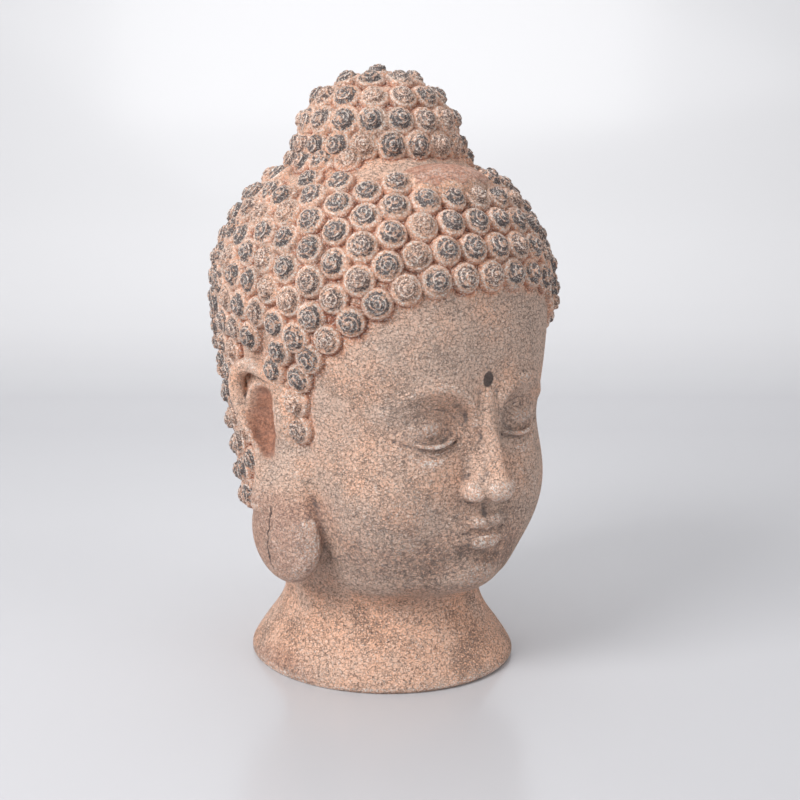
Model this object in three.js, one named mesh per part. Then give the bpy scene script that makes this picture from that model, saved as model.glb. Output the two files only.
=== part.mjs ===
// A cast garden ornament: a Buddha head on a short neck, cut flat below, its hair in rows of snail-shell curls.
// Millimetres, +Z up. The face looks along -Y, the origin is the middle of the flat underside.
// The whole head is one casting, so it is one closed mesh: points are laid on a smooth modelled form,
// joined into triangles as on a sphere, and the curls stand up from it.
import * as THREE from 'three';
import { ConvexHull } from 'three/addons/math/ConvexHull.js';

// ---- Driving dimensions ----
const HEIGHT = 400;                    // flat underside to the top of the highest curl
const CURL_RISE = 6.5;                 // how far a curl stands up from the scalp
const CURL_WIDTH = 19;                 // middle to middle along a row
const ROW_STEP = 17.4;                 // row to row, measured square to the rows
const CHIN = 65;                       // underside of the chin
const HAIRLINE = 262;                  // lower edge of the hair at the middle of the forehead
const EYE_WIDTH = 35;                  // five eye widths make the width of the face

// The face follows the classical canon: three equal thirds from the chin to the hairline.
const THIRD = (HAIRLINE - CHIN) / 3;
const NOSE_BASE = CHIN + THIRD;
const BROW = CHIN + 2 * THIRD;
const MOUTH = NOSE_BASE - THIRD / 3;
const LASH = BROW - THIRD / 3;

// Outlines of the bald head as [height, distance from the axis], foot to crown
const FRONT = [[0, 96], [4, 95.5], [16, 88], [30, 78], [42, 71.5], [50, 70], [58, 76], [65, 89], [74, 98], [90, 101.5],
  [109, 103], [152, 104.5], [174, 105.5], [196, 108.5], [215, 110.5], [235, 111.5], [252, 111.5]];
const BACK = [[0, 96], [4, 95.5], [16, 88], [30, 78], [42, 72], [60, 73], [78, 80], [90, 90], [100, 95], [126, 102],
  [155, 108], [176, 112.5], [200, 116], [224, 118.5], [240, 119.5], [252, 119.5]];
const SIDE = [[0, 89], [4, 88.5], [16, 81], [30, 71], [42, 66], [52, 66], [62, 69], [72, 74], [85, 80], [100, 84.5],
  [120, 88], [140, 90.5], [160, 93], [180, 95.5], [200, 98.5], [224, 102.5], [240, 104.8], [252, 105.3]];
// How square the plan is at each height: 2 is an ellipse
const SQUARE = [[0, 2], [45, 2], [70, 2.15], [100, 2.3], [150, 2.4], [200, 2.35], [250, 2.2], [300, 2.15]];
const CROWN = { foot: 252, rise: 97 };
const TOPKNOT = { middle: 340, radius: 53.5, depth: 1.03, squareness: 2.1 };
TOPKNOT.rise = HEIGHT - CURL_RISE - TOPKNOT.middle;

// ---- Small mathematics ----
const { clamp, degToRad, radToDeg, lerp } = THREE.MathUtils;
const vec = (x, y, z) => new THREE.Vector3(x, y, z);

/** Value at z of the smooth curve through [z, value] knots. */
function along(knots, z) {
  const last = knots.length - 1;
  if (z <= knots[0][0]) return knots[0][1];
  if (z >= knots[last][0]) return knots[last][1];
  const i = knots.findIndex(([height]) => height > z) - 1;
  const slope = (k) => {
    const [a, b] = [knots[Math.max(k - 1, 0)], knots[Math.min(k + 1, last)]];
    return (b[1] - a[1]) / (b[0] - a[0]);
  };
  const [[z0, v0], [z1, v1]] = [knots[i], knots[i + 1]];
  const t = (z - z0) / (z1 - z0);
  const rise = t * t * (3 - 2 * t);
  return lerp(v0, v1, rise) + (z1 - z0) * t * (1 - t) * ((1 - t) * slope(i) - t * slope(i + 1));
}

/** Two distances joined, or one cut by another, with a rounded corner of the given softness. */
function join(a, b, soft) {
  const h = clamp(0.5 + 0.5 * (b - a) / soft, 0, 1);
  return lerp(b, a, h) - soft * h * (1 - h);
}
const cut = (a, b, soft) => -join(-a, b, soft);

/** Distance to an ellipsoid, turned about X by tilt degrees. */
function lump(centre, radii, tilt = 0) {
  const [cos, sin] = [Math.cos(degToRad(tilt)), Math.sin(degToRad(tilt))];
  const reach = Math.max(...radii);
  return (p) => {
    const x = (Math.abs(p.x) - centre[0]) / radii[0];
    const [dy, dz] = [p.y - centre[1], p.z - centre[2]];
    const y = (dy * cos + dz * sin) / radii[1];
    const z = (dz * cos - dy * sin) / radii[2];
    const near = Math.hypot(x, y, z);
    if (near > 3) return (near - 1) * reach / 3;
    return near * (near - 1) / (Math.hypot(x / radii[0], y / radii[1], z / radii[2]) + 1e-9);
  };
}

/** Distance to a round roll of clay along a smooth path, thick as the radii say from end to end. */
function roll(path, radii) {
  const curve = new THREE.CatmullRomCurve3(path.map((q) => vec(...q)), false, 'catmullrom', 0.5);
  const points = curve.getPoints((path.length - 1) * 4);
  const thick = (i) => {
    const t = i / (points.length - 1) * (radii.length - 1);
    const k = Math.min(Math.floor(t), radii.length - 2);
    return lerp(radii[k], radii[k + 1], t - k);
  };
  const box = new THREE.Box3().setFromPoints(points);
  const q = vec();
  const link = vec();
  return (p) => {
    q.set(Math.abs(p.x), p.y, p.z);
    const far = box.distanceToPoint(q);
    if (far > 40) return far - Math.max(...radii);
    let best = Infinity;
    for (let i = 0; i + 1 < points.length; i++) {
      link.subVectors(points[i + 1], points[i]);
      const t = clamp(vec().subVectors(q, points[i]).dot(link) / link.lengthSq(), 0, 1);
      const off = vec().copy(points[i]).addScaledVector(link, t).distanceTo(q);
      best = Math.min(best, off - lerp(thick(i), thick(i + 1), t));
    }
    return best;
  };
}

// ---- The bald head, as a field: negative inside, positive outside, in millimetres ----
/** The lathe-like skin from the cut underside to the crown. */
function skin(p) {
  const z = Math.min(p.z, CROWN.foot);
  const dome = Math.sqrt(clamp(1 - (Math.max(p.z - CROWN.foot, 0) / CROWN.rise) ** 2, 0.02, 1));
  const deep = dome * along(p.y < 0 ? FRONT : BACK, z);
  const wide = dome * along(SIDE, z);
  const power = p.y < 0 ? along(SQUARE, p.z) : lerp(2, along(SQUARE, p.z), 0.6);
  const reach = (Math.abs(p.x / wide) ** power + Math.abs(p.y / deep) ** power) ** (1 / power);
  const lean = p.z < CROWN.foot
    ? (along(SIDE, z + 1) - along(SIDE, z - 1)) / 2
    : Math.min((p.z - CROWN.foot) * deep / (CROWN.rise * dome) ** 2, 3);
  return (reach - 1) * Math.sqrt(wide * deep) / Math.hypot(1, lean);
}

function topknot(p) {
  const out = Math.hypot(p.x, p.y / TOPKNOT.depth) / TOPKNOT.radius;
  const up = Math.abs(p.z - TOPKNOT.middle) / TOPKNOT.rise;
  return ((out ** TOPKNOT.squareness + up ** TOPKNOT.squareness) ** (1 / TOPKNOT.squareness) - 1) * TOPKNOT.radius;
}

const KNOT_FOOT = 331;                 // where the crown meets the topknot
const skull = (p) => Math.max(join(skin(p), topknot(p), 11), p.z > TOPKNOT.middle ? topknot(p) : -Infinity, -p.z);

// What is modelled onto the bald head, in order: each line adds a form or digs one out.
const clay = [];
const add = (shape, soft) => clay.push((d, p) => join(d, shape(p), soft));
const dig = (shape, soft) => clay.push((d, p) => cut(d, shape(p), soft));

// The smooth oval boss at the front foot of the topknot
const BOSS = [[0, -68, 321], [22, -63, 321], [40, -50, 319]];
const BOSS_THICK = [15.5, 14, 6];
add(roll(BOSS, BOSS_THICK), 3);

// Cheeks, mouth and chin
add(lump([38, -62, 130], [38, 37, 42]), 20);
add(lump([0, -84, MOUTH], [32, 23, 27]), 14);
add(lump([0, -84, CHIN + 14], [22, 19.5, 14]), 12);
const CHIN_FOLD = [[-14, -107, 93], [0, -109, 92.5], [14, -107, 93]];
dig(roll(CHIN_FOLD, [3, 4, 3]), 7);

// Eye sockets under arched brows, which run down into the bridge of the nose
dig(lump([EYE_WIDTH - 1, -119, LASH + 5], [27, 22, 17]), 8);
const BROW_ARC = [[8, -107.5, 180], [10.5, -108, 190], [19, -107, BROW + 3], [EYE_WIDTH, -103.5, BROW + 7],
  [50, -96, BROW + 3], [63, -85.5, BROW - 8]];
add(roll(BROW_ARC, [2.6, 3, 3.2, 3.2, 2.8, 1]), 7);

// Nose: a broad body under a narrow straight ridge, with a round tip and wings
const NOSE_RIDGE = [[0, -106.5, BROW - 2], [0, -111.5, LASH + 2], [0, -118, 156], [0, -121.5, NOSE_BASE + 11]];
add(roll([[0, -99, 192], [0, -101, LASH], [0, -105, 156], [0, -108, NOSE_BASE + 9]], [8, 8.5, 10.5, 12.5]), 6);
add(roll(NOSE_RIDGE, [4.6, 4.4, 5, 6.4]), 5);
add(lump([0, -120.5, NOSE_BASE + 8], [10, 10, 8.4]), 4);
add(lump([EYE_WIDTH * 0.35, -111, NOSE_BASE + 6], [6.4, 10, 6.8]), 3.5);

// Eyes cast down: a full upper lid over a narrow lower one
const LASH_LINE = [[15.5, -97, LASH - 3.5], [24, -101.6, LASH - 6.6], [EYE_WIDTH, -102.6, LASH - 8.2],
  [45, -98.8, LASH - 7], [55, -89.5, LASH - 2.5]];
const LID_CREASE = [[17.5, -95, LASH + 5], [25, -98, LASH + 12.5], [EYE_WIDTH, -98, LASH + 15], [45, -94, LASH + 11],
  [53, -88, LASH + 3]];
add(lump([EYE_WIDTH - 0.5, -79.5, LASH + 2], [22.5, 22.5, 17]), 1.6);
add(lump([EYE_WIDTH - 0.5, -79, LASH - 7], [22, 19.5, 10]), 3);
add(roll(LASH_LINE, [0.6, 1.5, 1.8, 1.6, 0.6]), 1.2);

// Lips
const UPPER_LIP = [[26, -96, MOUTH + 1.6], [17, -102.5, MOUTH + 3.4], [8, -108, MOUTH + 6.2], [0, -108.4, MOUTH + 4.2]];
const LOWER_LIP = [[25, -96, MOUTH - 0.4], [15, -103, MOUTH - 4.6], [6, -107.5, MOUTH - 6.4], [0, -107.8, MOUTH - 6.4]];
const MOUTH_LINE = [[28.5, -98.5, MOUTH + 2.8], [17, -105.8, MOUTH - 0.2], [8, -111.3, MOUTH + 0.2],
  [0, -112.4, MOUTH - 0.8]];
dig(roll([[0, -108.5, NOSE_BASE - 4], [0, -110.5, MOUTH + 9]], [2, 2.2]), 3);
add(roll(UPPER_LIP, [0.8, 3, 4.2, 3.8]), 2);
add(roll(LOWER_LIP, [0.8, 3.8, 5.2, 5.4]), 2.4);
dig(roll(MOUTH_LINE, [1.4, 1.1, 0.9, 0.9]), 1.6);

// Ears: a rolled rim round a teardrop hollow, drawn down into a long hanging lobe
const EAR_RIM = [[93, -26, 197], [99, -13, 206.5], [102, 3, 210.5], [103, 15, 204], [103.5, 15.5, 192],
  [102.5, 9, 178], [101, -1, 165], [99, -6, 152], [97, -6, 138], [95, -4, 122]];
const EAR_FOLD = [[97, -18, 196], [100, -8, 199], [102, 2, 195], [102, 5, 184], [101, 0, 170]];
const EAR_HOLLOW = [[104, -7, 189], [104, -7, 180], [102.5, -11, 168], [100, -15, 158]];
const LOBE = { centre: [90, -14, 103], size: [14, 33, 30], tilt: 10 };
add(lump([90, -6, 182], [12, 28, 33]), 5);
add(roll(EAR_RIM, [3.5, 4.5, 5.2, 5.4, 5.4, 5.2, 5, 5.5, 8, 12]), 3);
add(roll(EAR_FOLD, [2, 2.6, 2.8, 2.6, 1.5]), 3);
add(lump(LOBE.centre, LOBE.size, LOBE.tilt), 7);
add(lump([88, -14, 136], [12, 26, 32]), 9);
dig(roll(EAR_HOLLOW, [7, 8.5, 6.5, 3]), 3);

const head = (p) => Math.max(clay.reduce((d, form) => form(d, p), skull(p)), -p.z);

// ---- Points on the form ----
const STEP = 0.5;
function slopeOf(field, p) {
  const d = (axis) => field(vec().copy(p).addScaledVector(axis, STEP)) - field(vec().copy(p).addScaledVector(axis, -STEP));
  return vec(d(vec(1, 0, 0)), d(vec(0, 1, 0)), d(vec(0, 0, 1))).divideScalar(2 * STEP);
}

/** The nearest point of the bald head, found by sliding down the field. */
function toSkull(p) {
  const q = vec().copy(p);
  for (let i = 0; i < 6; i++) {
    const slope = slopeOf(skull, q);
    q.addScaledVector(slope, -skull(q) / slope.lengthSq());
  }
  return q;
}

/** The outermost place where the line from foot along way leaves the given form. */
function leave(field, foot, way, from, to) {
  let out = to;
  while (out > from && field(vec().copy(foot).addScaledVector(way, out)) > 0) out -= 0.75;
  let [inside, outside] = [out, out + 0.75];
  for (let i = 0; i < 12; i++) {
    const middle = (inside + outside) / 2;
    if (field(vec().copy(foot).addScaledVector(way, middle)) > 0) outside = middle;
    else inside = middle;
  }
  return (inside + outside) / 2;
}

const outward = (turn) => vec(Math.sin(degToRad(turn)), -Math.cos(degToRad(turn)), 0);
const turnOf = (p) => radToDeg(Math.atan2(p.x, -p.y));
function bareFoot(turn, z) {
  const axis = vec(0, 0, z);
  return axis.addScaledVector(outward(turn), leave(skin, axis, outward(turn), 20, 140));
}

// The mean outline gives every point its place on a unit sphere, where neighbours are joined.
const outline = [[0, 0]];
for (let z = 0; z <= KNOT_FOOT; z += 2) {
  const r = (bareFoot(0, z).length() ** 2 - z * z) ** 0.5;
  const side = (bareFoot(90, z).length() ** 2 - z * z) ** 0.5;
  outline.push([(r + side) / 2, z]);
}
for (let bend = 4; bend < 90; bend += bend < 80 ? 4 : 1) {
  const up = Math.sin(degToRad(bend)) ** (2 / TOPKNOT.squareness);
  const out = Math.cos(degToRad(bend)) ** (2 / TOPKNOT.squareness);
  outline.push([TOPKNOT.radius * out, TOPKNOT.middle + TOPKNOT.rise * up]);
}
const climb = [0];
for (let i = 1; i < outline.length; i++) {
  const [[r0, z0], [r1, z1]] = [outline[i - 1], outline[i]];
  climb.push(climb[i - 1] + (i === 1 ? 0 : Math.hypot(r1 - r0, z1 - z0) * 2 / (r0 + r1)));
}
const LEVEL = climb[outline.findIndex(([, z]) => z >= BROW)];

/** The direction on the unit sphere that stands for a point of the bald head. */
function sky(foot) {
  const r = Math.hypot(foot.x, foot.y);
  if (r < 1) return vec(0, 0, Math.sign(foot.z - BROW));
  let [best, rise] = [Infinity, 0];
  for (let i = 2; i < outline.length; i++) {
    const [[r0, z0], [r1, z1]] = [outline[i - 1], outline[i]];
    const [dr, dz] = [r1 - r0, z1 - z0];
    const t = clamp(((r - r0) * dr + (foot.z - z0) * dz) / (dr * dr + dz * dz), 0, 1);
    const off = Math.hypot(r - r0 - t * dr, foot.z - z0 - t * dz);
    if (off < best) [best, rise] = [off, lerp(climb[i - 1], climb[i], t)];
  }
  const latitude = 2 * Math.atan(Math.exp(rise - LEVEL)) - Math.PI / 2;
  const turn = Math.atan2(foot.x, -foot.y);
  return vec(Math.sin(turn) * Math.cos(latitude), -Math.cos(turn) * Math.cos(latitude), Math.sin(latitude));
}

const points = [];
/** Puts a point, and its mirror image, on the head unless another stands within gap. */
function settle(foot, way, rise, gap) {
  if (points.some((other) => other.foot.distanceTo(foot) < gap)) return;
  const at = vec().copy(foot).addScaledVector(way, leave(head, foot, way, -18, 36) + rise);
  if (foot.x < gap / 2) {
    foot.x = 0;
    at.x = 0;
  }
  points.push({ at, foot, sky: sky(foot) });
  if (foot.x === 0) return;
  const twin = points[points.length - 1];
  points.push({ at: vec(-at.x, at.y, at.z), foot: vec(-foot.x, foot.y, foot.z),
    sky: vec(-twin.sky.x, twin.sky.y, twin.sky.z) });
}

// ---- Curls ----
// The lowest row follows the hairline from the forehead past the temple and behind the ear to the nape:
// [degrees round from the front, height]
const HAIR_EDGE = [[0, HAIRLINE + 8.5], [20, 269], [29, 265], [38, 257], [46, 246], [55, 233], [60, 221], [64, 207],
  [68, 191], [74, 173], [82, 153], [95, 132], [115, 115], [140, 106], [180, 103]];
const SIDEBURN = [[61.5, 221], [66.3, 207.5], [69, 191], [68.5, 174], [74, 224], [78.5, 211]];
const KNOT_RINGS = [[334, 19], [348, 19], [363, 18], [378, 14], [389.5, 7]];
const ROWS = 16;                       // nape to crown at the back
const CLOSEST = 13.6;                  // no two curls stand nearer than this

const curls = [];
/** Puts a curl on the scalp, and its mirror image, unless the ear, the boss or another curl is in the way. */
function curl(foot, anywhere = false) {
  const way = slopeOf(skull, foot).normalize();
  if (curls.some((other) => other.foot.distanceTo(foot) < CLOSEST)) return;
  const room = anywhere || [0, 60, 120, 180, 240, 300].every((turn) => {
    const edge = vec(Math.cos(degToRad(turn)), 0, Math.sin(degToRad(turn))).cross(way).multiplyScalar(6).add(foot);
    return leave(head, edge, way, -10, 30) < 3;
  });
  if (!room) return;
  if (foot.x < CLOSEST / 2) foot.x = 0;
  curls.push({ foot, way });
  if (foot.x > 0) curls.push({ foot: vec(-foot.x, foot.y, foot.z), way: vec(-way.x, way.y, way.z) });
}

function comb(row, spacing) {
  const line = new THREE.CatmullRomCurve3(row);
  return line.getSpacedPoints(Math.max(Math.round(line.getLength() / spacing), 2));
}

/** The row one ROW_STEP further up the scalp, square to this one all along. */
function nextRow(row) {
  const STAGES = 4;
  let line = comb(row, 4);
  for (let stage = 0; stage < STAGES; stage++) {
    line = line.map((p, i) => {
      const ahead = vec().subVectors(line[Math.min(i + 1, line.length - 1)], line[Math.max(i - 1, 0)]);
      const uphill = slopeOf(skin, p).cross(ahead).normalize();
      const q = vec().copy(p).addScaledVector(uphill, ROW_STEP / STAGES);
      const slope = slopeOf(skin, q);
      return q.addScaledVector(slope, -skin(q) / slope.lengthSq());
    });
    line = line.map((p, i) => (i === 0 || i === line.length - 1 ? p
      : vec().addVectors(line[i - 1], line[i + 1]).add(p).add(p).divideScalar(4)));
    line = line.filter((p) => p.x > -0.5 && p.z < CROWN.foot + CROWN.rise - 6);
    if (line.length < 4) return null;
    line = comb(line, 4);
    for (const end of [line[0], line[line.length - 1]]) if (end.x < 4) end.x = 0;
  }
  return line;
}

for (const [height, count] of KNOT_RINGS) {
  const ring = KNOT_RINGS.findIndex(([z]) => z === height);
  for (let i = 0; i <= count / 2; i++) {
    const axis = vec(0, 0, height);
    const way = outward((i + (ring % 2) / 2) * 360 / count);
    curl(toSkull(axis.addScaledVector(way, leave(topknot, axis, way, 5, 70))));
  }
}
curls.push({ foot: vec(0, 0, HEIGHT - CURL_RISE), way: vec(0, 0, 1) });
for (const [turn, z] of SIDEBURN) curl(bareFoot(turn, z), true);
let row = HAIR_EDGE.map(([turn, z]) => bareFoot(turn, z));
for (let k = 0; row && k < ROWS; k++) {
  const line = new THREE.CatmullRomCurve3(row);
  const meetsFront = row[0].x < 1;
  const start = meetsFront && k % 2 ? CURL_WIDTH / 2 : 0;
  const count = Math.round((line.getLength() - start) / CURL_WIDTH);
  for (let i = 0; i <= count; i++) {
    const reach = start + i * (line.getLength() - start) / count;
    const p = line.getPointAt(Math.min(reach / line.getLength(), 1));
    if (p.z < KNOT_FOOT - 4) curl(toSkull(p));
  }
  row = nextRow(row);
}

// Each curl is a low dome: a peak, a ring below it, and points in the furrows that it shares with its neighbours.
const DOME = { sides: 6, radius: 5.8, rise: 4.7 };
const FURROW = 10.2;                   // from the middle of a curl to the furrow round it
for (const { foot, way } of curls) {
  if (foot.x < 0) continue;
  const level = vec(0, 0, 1).cross(way);
  const across = level.lengthSq() > 0.01 ? level.normalize() : vec(1, 0, 0);
  const up = vec().copy(way).cross(across);
  settle(foot, way, CURL_RISE, 1);
  for (let i = 0; i < DOME.sides; i++) {
    const angle = i / DOME.sides * 2 * Math.PI;
    const side = vec().addScaledVector(across, Math.cos(angle)).addScaledVector(up, Math.sin(angle));
    const p = toSkull(vec().copy(foot).addScaledVector(side, DOME.radius));
    settle(p, slopeOf(skull, p).normalize(), DOME.rise, 1);
  }
}
for (const { foot, way } of curls) {
  const across = vec(0.02, 0, 1).cross(way).normalize();
  const up = vec().copy(way).cross(across);
  for (let i = 0; i < 6; i++) {
    const angle = (i + 0.5) / 6 * 2 * Math.PI;
    const side = vec().addScaledVector(across, Math.cos(angle)).addScaledVector(up, Math.sin(angle));
    const p = toSkull(vec().copy(foot).addScaledVector(side, FURROW));
    if (p.x < 0 || curls.some((other) => other.foot.distanceTo(p) < FURROW - 2.4)) continue;
    settle(p, slopeOf(skull, p).normalize(), 0, 4.4);
  }
}

// ---- The face, ears, neck and boss: points along the lines of the modelling, then an even spread between ----
const inHair = (p) => curls.some((other) => other.foot.distanceTo(p) < FURROW);
/** Points along a modelled line and, at each shift, along lines beside it. */
function trace(path, shifts, spacing, gap) {
  const line = new THREE.CatmullRomCurve3(path.map((q) => vec(...q)), false, 'catmullrom', 0.5);
  const count = Math.ceil(line.getLength() / spacing);
  for (const shift of shifts) {
    for (let i = 0; i <= count; i++) {
      const p = line.getPointAt(i / count);
      const beside = vec(p.x, p.y, 0).normalize().cross(line.getTangentAt(i / count)).multiplyScalar(shift);
      p.add(beside);
      const foot = bareFoot(turnOf(p), p.z);
      if (p.x > -0.1 && !inHair(foot)) settle(foot, outward(turnOf(p)), 0, gap);
    }
  }
}
trace([...NOSE_RIDGE, [0, -125, NOSE_BASE + 5], [0, -120, NOSE_BASE - 1]], [0], 5, 2.6);
trace([[4.5, -112, LASH + 8], [5, -116, 160], [6, -120, 146], [8, -124, NOSE_BASE + 8], [7, -122, NOSE_BASE + 1]],
  [0], 5.5, 2.6);
trace([[9, -110, LASH + 6], [11, -109, 162], [14, -108, 149], [20, -107, NOSE_BASE + 11], [21.5, -106, NOSE_BASE + 4],
  [17, -108, NOSE_BASE - 2.5], [8, -113, NOSE_BASE - 3.5], [0, -113, NOSE_BASE - 4.5]], [0], 5, 2.6);
trace([[13, -116, NOSE_BASE + 10], [18.5, -113, NOSE_BASE + 6], [14, -115, NOSE_BASE + 1]], [0], 4, 2.4);
trace(MOUTH_LINE, [0, 2.2, -2.2], 5, 1.8);
trace(UPPER_LIP, [4.6], 5, 2.6);
trace(LOWER_LIP, [-5.6], 5, 3);
trace(LASH_LINE, [0, -2.6], 4.4, 2.2);
trace(LID_CREASE, [0, 3.2], 5, 2.8);
trace(BROW_ARC, [0, -4, 5], 6, 3.4);
trace([[17, -92, 163], [EYE_WIDTH, -98, 157.5], [53, -88, 163]], [0], 6, 4);
trace(CHIN_FOLD, [0], 7, 4);
trace([[0, -104, CHIN + 4], [24, -98, CHIN + 5], [46, -84, CHIN + 13], [66, -60, CHIN + 30]], [0], 8, 5);
trace([[0, -90, CHIN - 2], [24, -86, CHIN], [44, -74, CHIN + 6]], [0], 9, 5);
trace(EAR_RIM, [0, 6.5, -6.5, 10], 7, 4);
trace([[104, -8, 200], [107, 1, 184], [107, -4, 164], [104, -13, 150], [104, -18, 165], [107, -19, 184], [104, -8, 200]],
  [0], 7, 4);
trace([[105, -8, 190], [105, -11, 165]], [0], 8, 4);
const lobeRing = (grow) => Array.from({ length: 13 }, (_, i) => {
  const [cos, sin] = [Math.cos(i * Math.PI / 6), Math.sin(i * Math.PI / 6)];
  return [LOBE.centre[0], LOBE.centre[1] + cos * LOBE.size[1] * grow, LOBE.centre[2] + sin * LOBE.size[2] * grow];
});
for (const grow of [1.02, 0.96, 0.82, 0.5]) trace(lobeRing(grow), [0], 9, 4);
const ring = (z, count, gap) => {
  for (let i = 0; i <= count / 2; i++) {
    const turn = (i + (z % 2) / 2) * 360 / count;
    const foot = bareFoot(turn, z);
    if (turn <= 180 && !inHair(foot)) settle(foot, outward(turn), 0, gap);
  }
};
ring(0.01, 40, 4);
for (const z of [3, 15, 29, 42, 54]) ring(z, 36, 7);
for (let z = CHIN; z < HAIRLINE; z += 8.5) ring(z, 72, 7.6);
for (const grow of [1, 0.8, 0.5, 0.15]) {
  for (let angle = -90; angle <= 90; angle += 15) {
    const x = Math.cos(degToRad(angle)) * 41 * grow;
    const lift = Math.sin(degToRad(angle)) * BOSS_THICK[0] * grow;
    const foot = toSkull(vec(x, BOSS[0][1] - 8 + lift * 0.7 + x * x / 85, BOSS[0][2] + 4 + lift * 0.7));
    settle(foot, slopeOf(skull, foot).normalize(), 0, 4.2);
  }
}
settle(vec(0, 0, 0), vec(0, 0, -1), 0, 1);

// ---- One closed skin through all the points ----
/** A closed mesh whose triangles are those of the convex hull of the points' places on the unit sphere. */
function wrap() {
  const places = points.map(({ sky: place }, i) => Object.assign(vec().copy(place), { i }));
  const hull = new ConvexHull().setFromPoints(places);
  const index = [];
  for (const { edge } of hull.faces) index.push(edge.tail().point.i, edge.head().point.i, edge.next.head().point.i);
  const geometry = new THREE.BufferGeometry().setFromPoints(points.map(({ at, foot }) => (
    foot.z < 0.1 ? vec(at.x, at.y, 0) : at)));
  geometry.setIndex(index);
  geometry.computeVertexNormals();
  return geometry;
}

const terracotta = new THREE.MeshStandardMaterial({ color: 0xb5917f, roughness: 0.85, metalness: 0, flatShading: true });
const casting = new THREE.Mesh(wrap(), terracotta);
casting.name = 'buddha_head';

const model = new THREE.Group();
model.add(casting);
export default model;
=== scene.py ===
"""A cast Buddha head ornament: one casting with snail-shell curls, painted in crackled terracotta."""
import math

import bpy
import numpy as np
import openvdb
from mathutils import Matrix, Vector
from mathutils.kdtree import KDTree


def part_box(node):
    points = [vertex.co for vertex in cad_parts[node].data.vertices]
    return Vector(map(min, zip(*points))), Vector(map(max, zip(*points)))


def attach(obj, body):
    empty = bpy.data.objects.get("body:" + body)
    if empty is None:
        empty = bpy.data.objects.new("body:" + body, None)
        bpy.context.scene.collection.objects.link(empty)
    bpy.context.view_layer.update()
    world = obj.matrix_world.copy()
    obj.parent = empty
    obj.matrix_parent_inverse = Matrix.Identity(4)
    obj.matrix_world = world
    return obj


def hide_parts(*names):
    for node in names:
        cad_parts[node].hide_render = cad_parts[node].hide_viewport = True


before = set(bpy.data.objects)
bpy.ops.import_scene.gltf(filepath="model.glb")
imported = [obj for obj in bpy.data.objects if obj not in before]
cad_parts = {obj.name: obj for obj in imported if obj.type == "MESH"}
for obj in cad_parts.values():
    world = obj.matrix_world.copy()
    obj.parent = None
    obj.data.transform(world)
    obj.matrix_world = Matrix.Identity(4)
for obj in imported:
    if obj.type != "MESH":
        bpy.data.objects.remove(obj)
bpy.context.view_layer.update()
low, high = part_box("buddha_head")
MM = 0.001                             # the casting is modelled in millimetres and scaled at the end
HEIGHT = (high[2] - low[2]) * 1000

# ---- Studio: a plain pale sweep, soft light from high on the left, and the camera ----
# The sweep is one sheet that runs from the floor up behind the head, as a photographer's paper does.
# Its colour is painted shade and light: grey over the floor and where the floor turns up into the wall,
# paling up the wall.
FLOOR_Z = low[2]
CAMERA_TURN = math.radians(-37.0)
CAMERA_AWAY = 0.96
CAMERA_UP = 0.367
CAMERA_DIP = math.radians(11.27)
CAMERA_SHIFT = 0.0225
SENSOR_WIDTH = 36.0
FOCAL_IN_FRAMES = 1.7875
FLOOR_ROWS = (-1.6, -0.4, 0.0, 0.3, 0.5, 0.7, 0.9)
BEND_START, BEND_RADIUS, BEND_STEPS = 1.1, 0.9, 12
WALL_TOP, HALF_WIDTH = 2.6, 3.2
# Grey and pale paper, mixed along the sweep as painted shade and light
SHADED_PAPER, LIT_PAPER = (0.36, 0.36, 0.385, 1), (0.72, 0.72, 0.735, 1)
SHADING_AT = [-0.4, 0.3, 0.5, 0.7, 0.9, 1.15, 1.4, 1.75]
SHADING_LEVEL = [0.42, 0.48, 0.42, 0.34, 0.36, 0.66, 0.92, 1.0]


def paper_material():
    material = bpy.data.materials.new("pale_sweep_paper")
    material.use_nodes = True
    nodes, links = material.node_tree.nodes, material.node_tree.links
    shader = nodes["Principled BSDF"]
    # The paper's colour is painted shade and light, read from the sweep's points
    painted_shading = nodes.new("ShaderNodeAttribute")
    painted_shading.attribute_name = "painted_shading"
    shade = nodes.new("ShaderNodeMix")
    shade.data_type = "RGBA"
    shade.inputs["A"].default_value = SHADED_PAPER
    shade.inputs["B"].default_value = LIT_PAPER
    links.new(painted_shading.outputs["Fac"], shade.inputs["Factor"])
    links.new(shade.outputs["Result"], shader.inputs["Base Color"])
    shader.inputs["Roughness"].default_value = 0.2
    shader.inputs["Specular IOR Level"].default_value = 0.5
    return material


def make_sweep():
    across = Vector((math.cos(CAMERA_TURN), math.sin(CAMERA_TURN), 0))
    back = Vector((-math.sin(CAMERA_TURN), math.cos(CAMERA_TURN), 0))
    profile = [(away, 0.0) for away in FLOOR_ROWS]
    for step in range(BEND_STEPS + 1):
        angle = math.radians(90 * step / BEND_STEPS)
        profile.append((BEND_START + BEND_RADIUS * math.sin(angle), BEND_RADIUS * (1 - math.cos(angle))))
    profile.append((BEND_START + BEND_RADIUS, WALL_TOP))
    verts = [across * side * HALF_WIDTH + back * away + Vector((0, 0, FLOOR_Z + up))
             for away, up in profile for side in (-1, 1)]
    faces = [(2 * i, 2 * i + 1, 2 * i + 3, 2 * i + 2) for i in range(len(profile) - 1)]
    mesh = bpy.data.meshes.new("sweep")
    mesh.from_pydata(verts, [], faces)
    mesh.polygons.foreach_set("use_smooth", [True] * len(faces))
    # Painted shade and light along the sweep: grey on the floor, paler up the wall
    painted_shading = mesh.attributes.new("painted_shading", "FLOAT", "POINT")
    shading_levels = np.interp([away + up for away, up in profile for _ in range(2)], SHADING_AT, SHADING_LEVEL)
    painted_shading.data.foreach_set("value", shading_levels.astype(np.float32))
    sweep = bpy.data.objects.new("sweep", mesh)
    bpy.context.scene.collection.objects.link(sweep)
    mesh.materials.append(paper_material())


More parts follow.
